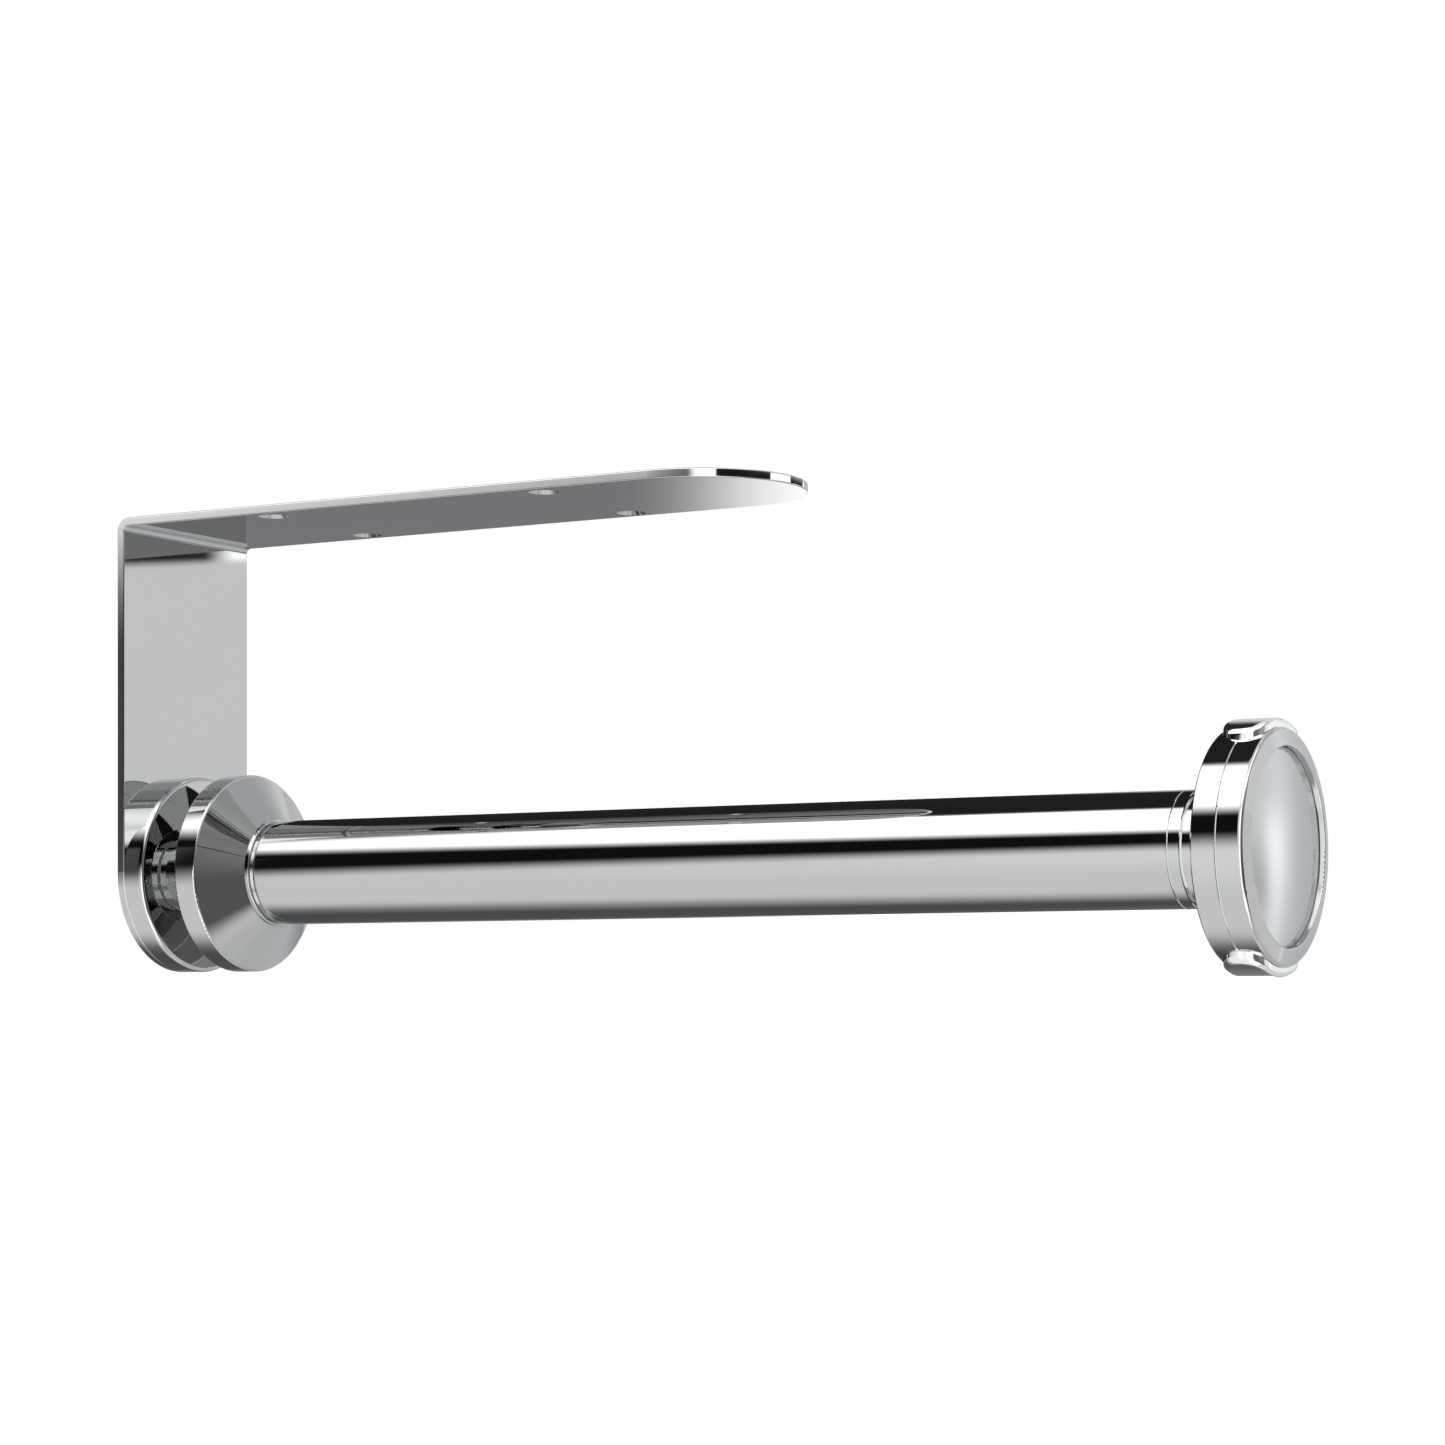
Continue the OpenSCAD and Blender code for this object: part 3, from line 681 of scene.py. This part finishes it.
def towards_middle(points, share):
    spine = PAD_HALF_Y - PAD_HALF_X
    return [
        (y + (max(-spine, min(spine, y)) - y) * share, x * (1 - share)) for y, x in points
    ]


print(len(outline(0)), "points round the pad")


# %% Loft and mesh helpers
def ring(bm, points, radius, sign):
    return [
        bm.verts.new((PAD_X + x, AXIS_Y + y, AXIS_Z + sign * math.sqrt(radius**2 - y**2)))
        for y, x in points
    ]


def join(bm, one, other):
    count = len(one)
    for k in range(count):
        bm.faces.new((one[k], one[(k + 1) % count], other[(k + 1) % count], other[k]))


def closed(bm):
    """Merges double points, turns the faces outwards and returns the volume."""
    bmesh.ops.remove_doubles(bm, verts=bm.verts, dist=MICRON)
    bmesh.ops.recalc_face_normals(bm, faces=bm.faces)
    return bm.calc_volume(signed=True)


def as_object(bm, name, material):
    mesh = bpy.data.meshes.new(name)
    bm.to_mesh(mesh)
    bm.free()
    mesh.materials.append(material)
    made = bpy.data.objects.new(name, mesh)
    scene.collection.objects.link(made)
    return made


def plain_mesh(piece, name):
    """Keeps what the modifiers make as the piece's own mesh and takes them off."""
    evaluated = piece.evaluated_get(bpy.context.evaluated_depsgraph_get())
    mesh = bpy.data.meshes.new_from_object(evaluated)
    piece.modifiers.clear()
    piece.data = mesh
    mesh.name = name
    return mesh


# %% The pad's head
INNER_SHARES = (1, 0.66, 0.33)
OUTER_SHARES = (0.04, 0.3, 0.65, 1)
EDGE_STEPS = 10
INNER_HOLD = 0.1 * MM
OUTER_HOLDS = (0.5 * MM, 0.05 * MM)


def pad_head(name, sign):
    """Rings from the middle of the inside, over the soft edge, to the middle of the top."""
    bm = bmesh.new()
    edge, top = outline(0), outline(PAD_EDGE)
    side_r = PAD_R - PAD_EDGE
    rings = [ring(bm, towards_middle(edge, s), PAD_IN_R, sign) for s in INNER_SHARES]
    rings += [ring(bm, edge, r, sign) for r in (PAD_IN_R, PAD_IN_R + INNER_HOLD)]
    rings += [ring(bm, edge, side_r - hold, sign) for hold in OUTER_HOLDS]
    for k in range(EDGE_STEPS + 1):
        a = math.pi / 2 * k / EDGE_STEPS
        inset = PAD_EDGE * (1 - math.cos(a))
        rings.append(ring(bm, outline(inset), PAD_R - PAD_EDGE * (1 - math.sin(a)), sign))
    rings += [ring(bm, towards_middle(top, s), PAD_R, sign) for s in OUTER_SHARES]
    for one, other in zip(rings, rings[1:]):
        join(bm, one, other)
    volume = closed(bm)
    print(name, "head", round(volume / MM**3), "mm3")
    return as_object(bm, name, brightened_pad_chrome)


# %% The pad's shank and foot
STEM_BACK, STEM_FRONT = 3.8 * MM, 2.9 * MM
SHANK_HALF_Y, FOOT_HALF_Y = 8.3 * MM, 17 * MM
FOOT_Z = pad_low.z - AXIS_Z
FOOT_THICK = 1.8 * MM
SHANK_IN_FOOT, SHANK_IN_HEAD = 1 * MM, 0.7 * MM


def pad_stem(name, sign):
    bm = bmesh.new()
    for half_y, inner, outer in (
        (SHANK_HALF_Y, FOOT_Z + SHANK_IN_FOOT, PAD_IN_R + SHANK_IN_HEAD),
        (FOOT_HALF_Y, FOOT_Z, FOOT_Z + FOOT_THICK),
    ):
        bottom, top = sorted((AXIS_Z + sign * inner, AXIS_Z + sign * outer))
        low = Vector((PAD_X - STEM_BACK, AXIS_Y - half_y, bottom))
        high = Vector((PAD_X + STEM_FRONT, AXIS_Y + half_y, top))
        block = Matrix.LocRotScale((low + high) / 2, None, high - low)
        bmesh.ops.create_cube(bm, size=1, matrix=block)
    closed(bm)
    return as_object(bm, name + "_stem", brightened_pad_chrome)


print("foot", round(FOOT_Z / MM, 2), "mm from the axis")


# %% Weld and place the buttons
def button(name, sign):
    head, stem = pad_head(name, sign), pad_stem(name, sign)
    weld = head.modifiers.new("weld", "BOOLEAN")
    weld.operation = "UNION"
    weld.solver = "EXACT"
    weld.use_self = True
    weld.object = stem
    whole = plain_mesh(head, name)
    bpy.data.objects.remove(stem)
    whole.shade_smooth()
    whole.set_sharp_from_angle(angle=math.radians(35))
    print(name, len(whole.polygons), "faces")
    return head


for name, sign, body, node_name in (
    ("top_pad", 1, "top_release", "top_button"),
    ("bottom_pad", -1, "bottom_release", "bottom_button"),
):
    pad = button(name, sign)
    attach(pad, body)
    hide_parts(node_name)

# %% [markdown]
# ## The round face
# The face is a shallow dome set in the cap's ring. It is one profile turned about the rod's
# axis, so its rule goes into a Geometry Nodes tree: a grid is rolled up, and each row
# of it takes its radius and its place from a point of the profile. The same
# tree turns any profile that it is given.


# %% How a tree begins and ends
def new_tree(name, inputs, output):
    tree = bpy.data.node_groups.new(name, "GeometryNodeTree")
    for label, kind in inputs.items():
        tree.interface.new_socket(label, in_out="INPUT", socket_type="NodeSocket" + kind)
    tree.interface.new_socket(output, in_out="OUTPUT", socket_type="NodeSocketGeometry")
    return tree, add_node(tree, "NodeGroupInput").outputs


def end_tree(tree, shape, finish):
    real = add_node(tree, "GeometryNodeRealizeInstances", {"Geometry": shape})
    finished = add_node(tree, "GeometryNodeSetMaterial", {"Geometry": real, "Material": finish})
    add_node(tree, "NodeGroupOutput", (finished,))
    print(tree.name, len(tree.nodes), "nodes")


def grow(name, points, tree, values):
    """Runs a tree on some points and keeps the result as a plain closed mesh."""
    start = bpy.data.meshes.new(name)
    start.from_pydata(points, [], [])
    made = bpy.data.objects.new(name, start)
    scene.collection.objects.link(made)
    build = made.modifiers.new("build", "NODES")
    build.node_group = tree
    sockets = {s.name: s.identifier for s in tree.interface.items_tree if s.in_out == "INPUT"}
    for label, value in values.items():
        build[sockets[label]] = value
    mesh = plain_mesh(made, name)
    bm = bmesh.new()
    bm.from_mesh(mesh)
    volume = closed(bm)
    bm.to_mesh(mesh)
    bm.free()
    mesh.shade_smooth()
    print(name, len(mesh.polygons), "faces,", round(volume / MM**3), "mm3")
    return made


# %% The turning tree
SEAM_GAP = 1e-7


def turning_tree():
    tree, given = new_tree(
        "turned piece",
        {
            "Profile": "Geometry",
            "Steps around": "Int",
            "Axis point": "Vector",
            "Finish": "Material",
        },
        "Piece",
    )
    size = add_node(tree, "GeometryNodeAttributeDomainSize", (given["Profile"],))
    rows = size.outputs["Point Count"]
    around = add_node(tree, MATH, (given["Steps around"], 1), operation="ADD")
    grid = add_node(
        tree,
        "GeometryNodeMeshGrid",
        {"Vertices X": around, "Vertices Y": rows, "Size X": 1.0, "Size Y": 1.0},
    )
    number = add_node(tree, "GeometryNodeInputIndex")
    line = add_node(tree, MATH, (number, rows), operation="DIVIDE")
    column = add_node(tree, MATH, (line,), operation="FLOOR")
    before = add_node(tree, MATH, (column, rows), operation="MULTIPLY")
    row = add_node(tree, MATH, (number, before), operation="SUBTRACT")
    position = add_node(tree, "GeometryNodeInputPosition")
    sample = add_node(
        tree,
        "GeometryNodeSampleIndex",
        {"Geometry": given["Profile"], "Value": position, "Index": row},
        data_type="FLOAT_VECTOR",
    )
    point = add_node(tree, "ShaderNodeSeparateXYZ", (sample,)).outputs
    full_turns = add_node(tree, MATH, (column, math.tau), operation="MULTIPLY")
    turn = add_node(tree, MATH, (full_turns, given["Steps around"]), operation="DIVIDE")
    sine = add_node(tree, MATH, (turn,), operation="SINE")
    cosine = add_node(tree, MATH, (turn,), operation="COSINE")
    across = add_node(tree, MATH, (point["Z"], sine), operation="MULTIPLY")
    up = add_node(tree, MATH, (point["Z"], cosine), operation="MULTIPLY")
    place = add_node(tree, "ShaderNodeCombineXYZ", (point["X"], across, up))
    moved = add_node(tree, "ShaderNodeVectorMath", (place, given["Axis point"]), operation="ADD")
    rolled = add_node(tree, "GeometryNodeSetPosition", {"Geometry": grid, "Position": moved})
    sewn = add_node(
        tree, "GeometryNodeMergeByDistance", {"Geometry": rolled, "Distance": SEAM_GAP}
    )
    smooth = add_node(tree, "GeometryNodeSetShadeSmooth", {"Geometry": sewn})
    end_tree(tree, smooth, given["Finish"])
    return tree


TURNING = turning_tree()

# %% The face's profile
face_low, face_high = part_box("cap_face")
FACE_R = (face_high.z - face_low.z) / 2
FACE_RIM_X = face_low.x + 1.0 * MM
FACE_TOP = face_high.x - MICRON
DOME_RISE = FACE_TOP - FACE_RIM_X
DOME_R = (FACE_R**2 + DOME_RISE**2) / (2 * DOME_RISE)
DOME_STEPS = 40
DOME_SHARE = 0.995
# Millimetres along the axis from the back and from the rim, and millimetres in from the edge
BACK_CORNER = ((0.0, 0.3), (0.1, 0.08), (0.3, 0.0))
RIM_CORNER = ((0.25, 0.0), (0.08, 0.03))
profile = [(face_low.x, 0.0)]
profile += [(face_low.x + x * MM, FACE_R - r * MM) for x, r in BACK_CORNER]
profile += [(FACE_RIM_X - x * MM, FACE_R - r * MM) for x, r in RIM_CORNER]
for k in range(DOME_STEPS + 1):
    r = FACE_R * DOME_SHARE * (1 - k / DOME_STEPS)
    profile.append((FACE_TOP - DOME_R + math.sqrt(DOME_R**2 - r**2), r))
print("dome radius", round(DOME_R / MM, 1), "mm,", len(profile), "points in the profile")

# %% The domed face
STEPS_AROUND = 192
face = grow(
    "round_face",
    [(x, 0, r) for x, r in profile],
    TURNING,
    {
        "Steps around": STEPS_AROUND,
        "Axis point": (0.0, AXIS_Y, AXIS_Z),
        "Finish": satin_chrome,
    },
)
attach(face, "end_cap")
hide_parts("cap_face")

# %% [markdown]
# ## The countersunk screws
# One screw holds the axle, two hold the flange and four join the cap's shells. They are
# zinc plated, with a flat countersunk head and a hex socket. All are the same screw in three
# sizes, set out on a plan, so one Geometry Nodes tree makes them: a cone and a cylinder are
# joined, the socket is cut, and the result is put on each point. The thread is a real helix,
# pressed into the shank by a wave that climbs one pitch in each turn.

# %% The screw tree
HEAD_SIDES, SHANK_SIDES, SOCKET_SIDES = 96, 48, 6
ROWS_PER_PITCH = 8
SHANK_IN_SCREW_HEAD = 0.3
SOCKET_DEPTH = 0.8


def screw_tree():
    sizes = ("Head radius", "Shank radius", "Length", "Pitch", "Thread depth", "Socket radius")
    tree, given = new_tree(
        "sunk screws",
        {"Places": "Geometry", **{size: "Float" for size in sizes}, "Finish": "Material"},
        "Screws",
    )
    head_r, shank_r = given["Head radius"], given["Shank radius"]
    sunk = add_node(tree, MATH, (head_r, shank_r), operation="SUBTRACT")
    head = add_node(
        tree,
        "GeometryNodeMeshCone",
        {"Radius Bottom": head_r, "Radius Top": shank_r, "Depth": sunk, "Vertices": HEAD_SIDES},
    )
    hidden = add_node(tree, MATH, (sunk, 1 - SHANK_IN_SCREW_HEAD), operation="MULTIPLY")
    bare = add_node(tree, MATH, (given["Length"], hidden), operation="SUBTRACT")
    threads = add_node(tree, MATH, (bare, given["Pitch"]), operation="DIVIDE")
    cuts = add_node(tree, MATH, (threads, ROWS_PER_PITCH), operation="MULTIPLY")
    rows = add_node(tree, MATH, (cuts,), operation="CEIL")
    rod = add_node(
        tree,
        "GeometryNodeMeshCylinder",
        {"Radius": shank_r, "Depth": bare, "Side Segments": rows, "Vertices": SHANK_SIDES},
    )
    spot = add_node(tree, "GeometryNodeInputPosition")
    axes = add_node(tree, "ShaderNodeSeparateXYZ", (spot,)).outputs
    pitches = add_node(tree, MATH, (axes["Z"], given["Pitch"]), operation="DIVIDE")
    climb = add_node(tree, MATH, (pitches, math.tau), operation="MULTIPLY")
    turn = add_node(tree, MATH, (axes["Y"], axes["X"]), operation="ARCTAN2")
    phase = add_node(tree, MATH, (climb, turn), operation="SUBTRACT")
    wave = add_node(tree, MATH, (phase,), operation="COSINE")
    groove = add_node(tree, MATH, (wave, -0.5, 0.5), operation="MULTIPLY_ADD")
    share = add_node(tree, MATH, (given["Thread depth"], shank_r), operation="DIVIDE")
    pressed = add_node(tree, MATH, (groove, share), operation="MULTIPLY")
    squeeze = add_node(tree, MATH, (1, pressed), operation="SUBTRACT")
    half = add_node(tree, MATH, (bare, 0.5), operation="MULTIPLY")
    shift = add_node(tree, MATH, (given["Length"], half), operation="SUBTRACT")
    x = add_node(tree, MATH, (axes["X"], squeeze), operation="MULTIPLY")
    y = add_node(tree, MATH, (axes["Y"], squeeze), operation="MULTIPLY")
    z = add_node(tree, MATH, (axes["Z"], shift), operation="ADD")
    thread = add_node(tree, "ShaderNodeCombineXYZ", (x, y, z))
    cut = add_node(tree, "GeometryNodeSetPosition", {"Geometry": rod, "Position": thread})
    body = add_node(tree, "GeometryNodeMeshBoolean", operation="UNION", solver="EXACT")
    for part in (head, cut):
        tree.links.new(part.outputs[0], body.inputs["Mesh 2"])
    key_depth = add_node(tree, MATH, (sunk, SOCKET_DEPTH * 2), operation="MULTIPLY")
    key = add_node(
        tree,
        "GeometryNodeMeshCylinder",
        {
            "Radius": given["Socket radius"],
            "Depth": key_depth,
            "Vertices": SOCKET_SIDES,
            "Side Segments": 1,
        },
    )
    socketed = add_node(
        tree,
        "GeometryNodeMeshBoolean",
        {"Mesh 1": body, "Mesh 2": key},
        operation="DIFFERENCE",
        solver="EXACT",
    )
    placed = add_node(
        tree,
        "GeometryNodeInstanceOnPoints",
        {"Points": given["Places"], "Instance": socketed, "Rotation": (0, math.pi / 2, 0)},
    )
    end_tree(tree, placed, given["Finish"])
    return tree


SCREWS = screw_tree()

# %% Where the screws stand
CAP_SCREW_HEAD = 2.25 * MM
axle_low, axle_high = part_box("axle_screw")
flange_low, flange_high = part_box("flange_screws")
corner_low, corner_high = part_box("cap_screws")
AXLE_SCREW_HEAD = (axle_high.z - axle_low.z) / 2
FLANGE_SCREW_HEAD = (flange_high.z - flange_low.z) / 2
axle_places = [((axle_low.y + axle_high.y) / 2, (axle_low.z + axle_high.z) / 2)]
flange_places = [
    (y, AXIS_Z) for y in (flange_low.y + FLANGE_SCREW_HEAD, flange_high.y - FLANGE_SCREW_HEAD)
]
cap_places = [
    (y, z)
    for y in (corner_low.y + CAP_SCREW_HEAD, corner_high.y - CAP_SCREW_HEAD)
    for z in (corner_low.z + CAP_SCREW_HEAD, corner_high.z - CAP_SCREW_HEAD)
]
print(len(axle_places) + len(flange_places) + len(cap_places), "screws")

# %% Make the screws
THREAD_DEPTH_SHARE = 0.5
SOCKET_SHARE = 0.34


def screws(name, node_name, body, diameter, pitch, head_radius, places):
    """Puts one kind of screw at its (y, z) places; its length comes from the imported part."""
    low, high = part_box(node_name)
    values = {
        "Head radius": head_radius,
        "Shank radius": diameter / 2,
        "Length": high.x - low.x,
        "Pitch": pitch,
        "Thread depth": pitch * THREAD_DEPTH_SHARE,
        "Socket radius": diameter * SOCKET_SHARE,
        "Finish": plain_steel,
    }
    made = grow(name, [(low.x, y, z) for y, z in places], SCREWS, values)
    made.data.set_sharp_from_angle(angle=math.radians(30))
    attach(made, body)
    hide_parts(node_name)


# A screw's size is its shank's diameter, its pitch and its head's radius
axle_size = (5 * MM, 0.8 * MM, AXLE_SCREW_HEAD)
flange_size = (3.5 * MM, 0.6 * MM, FLANGE_SCREW_HEAD)
cap_size = (2.5 * MM, 0.45 * MM, CAP_SCREW_HEAD)
screws("axle_bolt", "axle_screw", "bracket", *axle_size, axle_places)
screws("flange_bolts", "flange_screws", "bracket", *flange_size, flange_places)
screws("cap_bolts", "cap_screws", "end_cap", *cap_size, cap_places)

# %% [markdown]
# ## The springy latch ring
# The latch is one moulded acetal ring that the two buttons squeeze from above and below. Its
# arches bow inwards while its middle bar stays stiff and grips the stud. Each arch is its own
# piece here, cut from the imported ring. The bar is left as it is, because squeezing it would
# push it into the stud.

# %% Where the ring is cut
LATCH_CUT = 3.5 * MM


# %% Cut the ring
def ring_part(name, cuts):
    """A part of the latch ring; each cut is a height above the axis and the way that goes."""
    bm = bmesh.new()
    bm.from_mesh(nodes["latch_ring"].data)
    bmesh.ops.remove_doubles(bm, verts=bm.verts, dist=MICRON)
    for level, away in cuts:
        bmesh.ops.bisect_plane(
            bm,
            geom=bm.verts[:] + bm.edges[:] + bm.faces[:],
            plane_co=(0, 0, AXIS_Z + level),
            plane_no=(0, 0, away),
            clear_outer=True,
        )
        bmesh.ops.holes_fill(bm, edges=[e for e in bm.edges if e.is_boundary], sides=0)
    volume = closed(bm)
    gaps = sum(1 for e in bm.edges if not e.is_manifold)
    part = as_object(bm, name, acetal)
    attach(part, "end_cap")
    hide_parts("latch_ring")
    print(name, round(volume / MM**3, 1), "mm3, open edges", gaps)
    return part


ring_part("latch_bar", ((LATCH_CUT, 1), (-LATCH_CUT, -1)))
for name, sign, joint in (
    ("latch_top_arch", 1, "top_button_press"),
    ("latch_bottom_arch", -1, "bottom_button_press"),
):
    arch = ring_part(name, ((sign * LATCH_CUT, -sign),))
    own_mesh(arch)

# %% [markdown]
# ## Finish
# The colours are shown as they are, with no film curve.

# %% Colour
scene.view_settings.view_transform = "Standard"
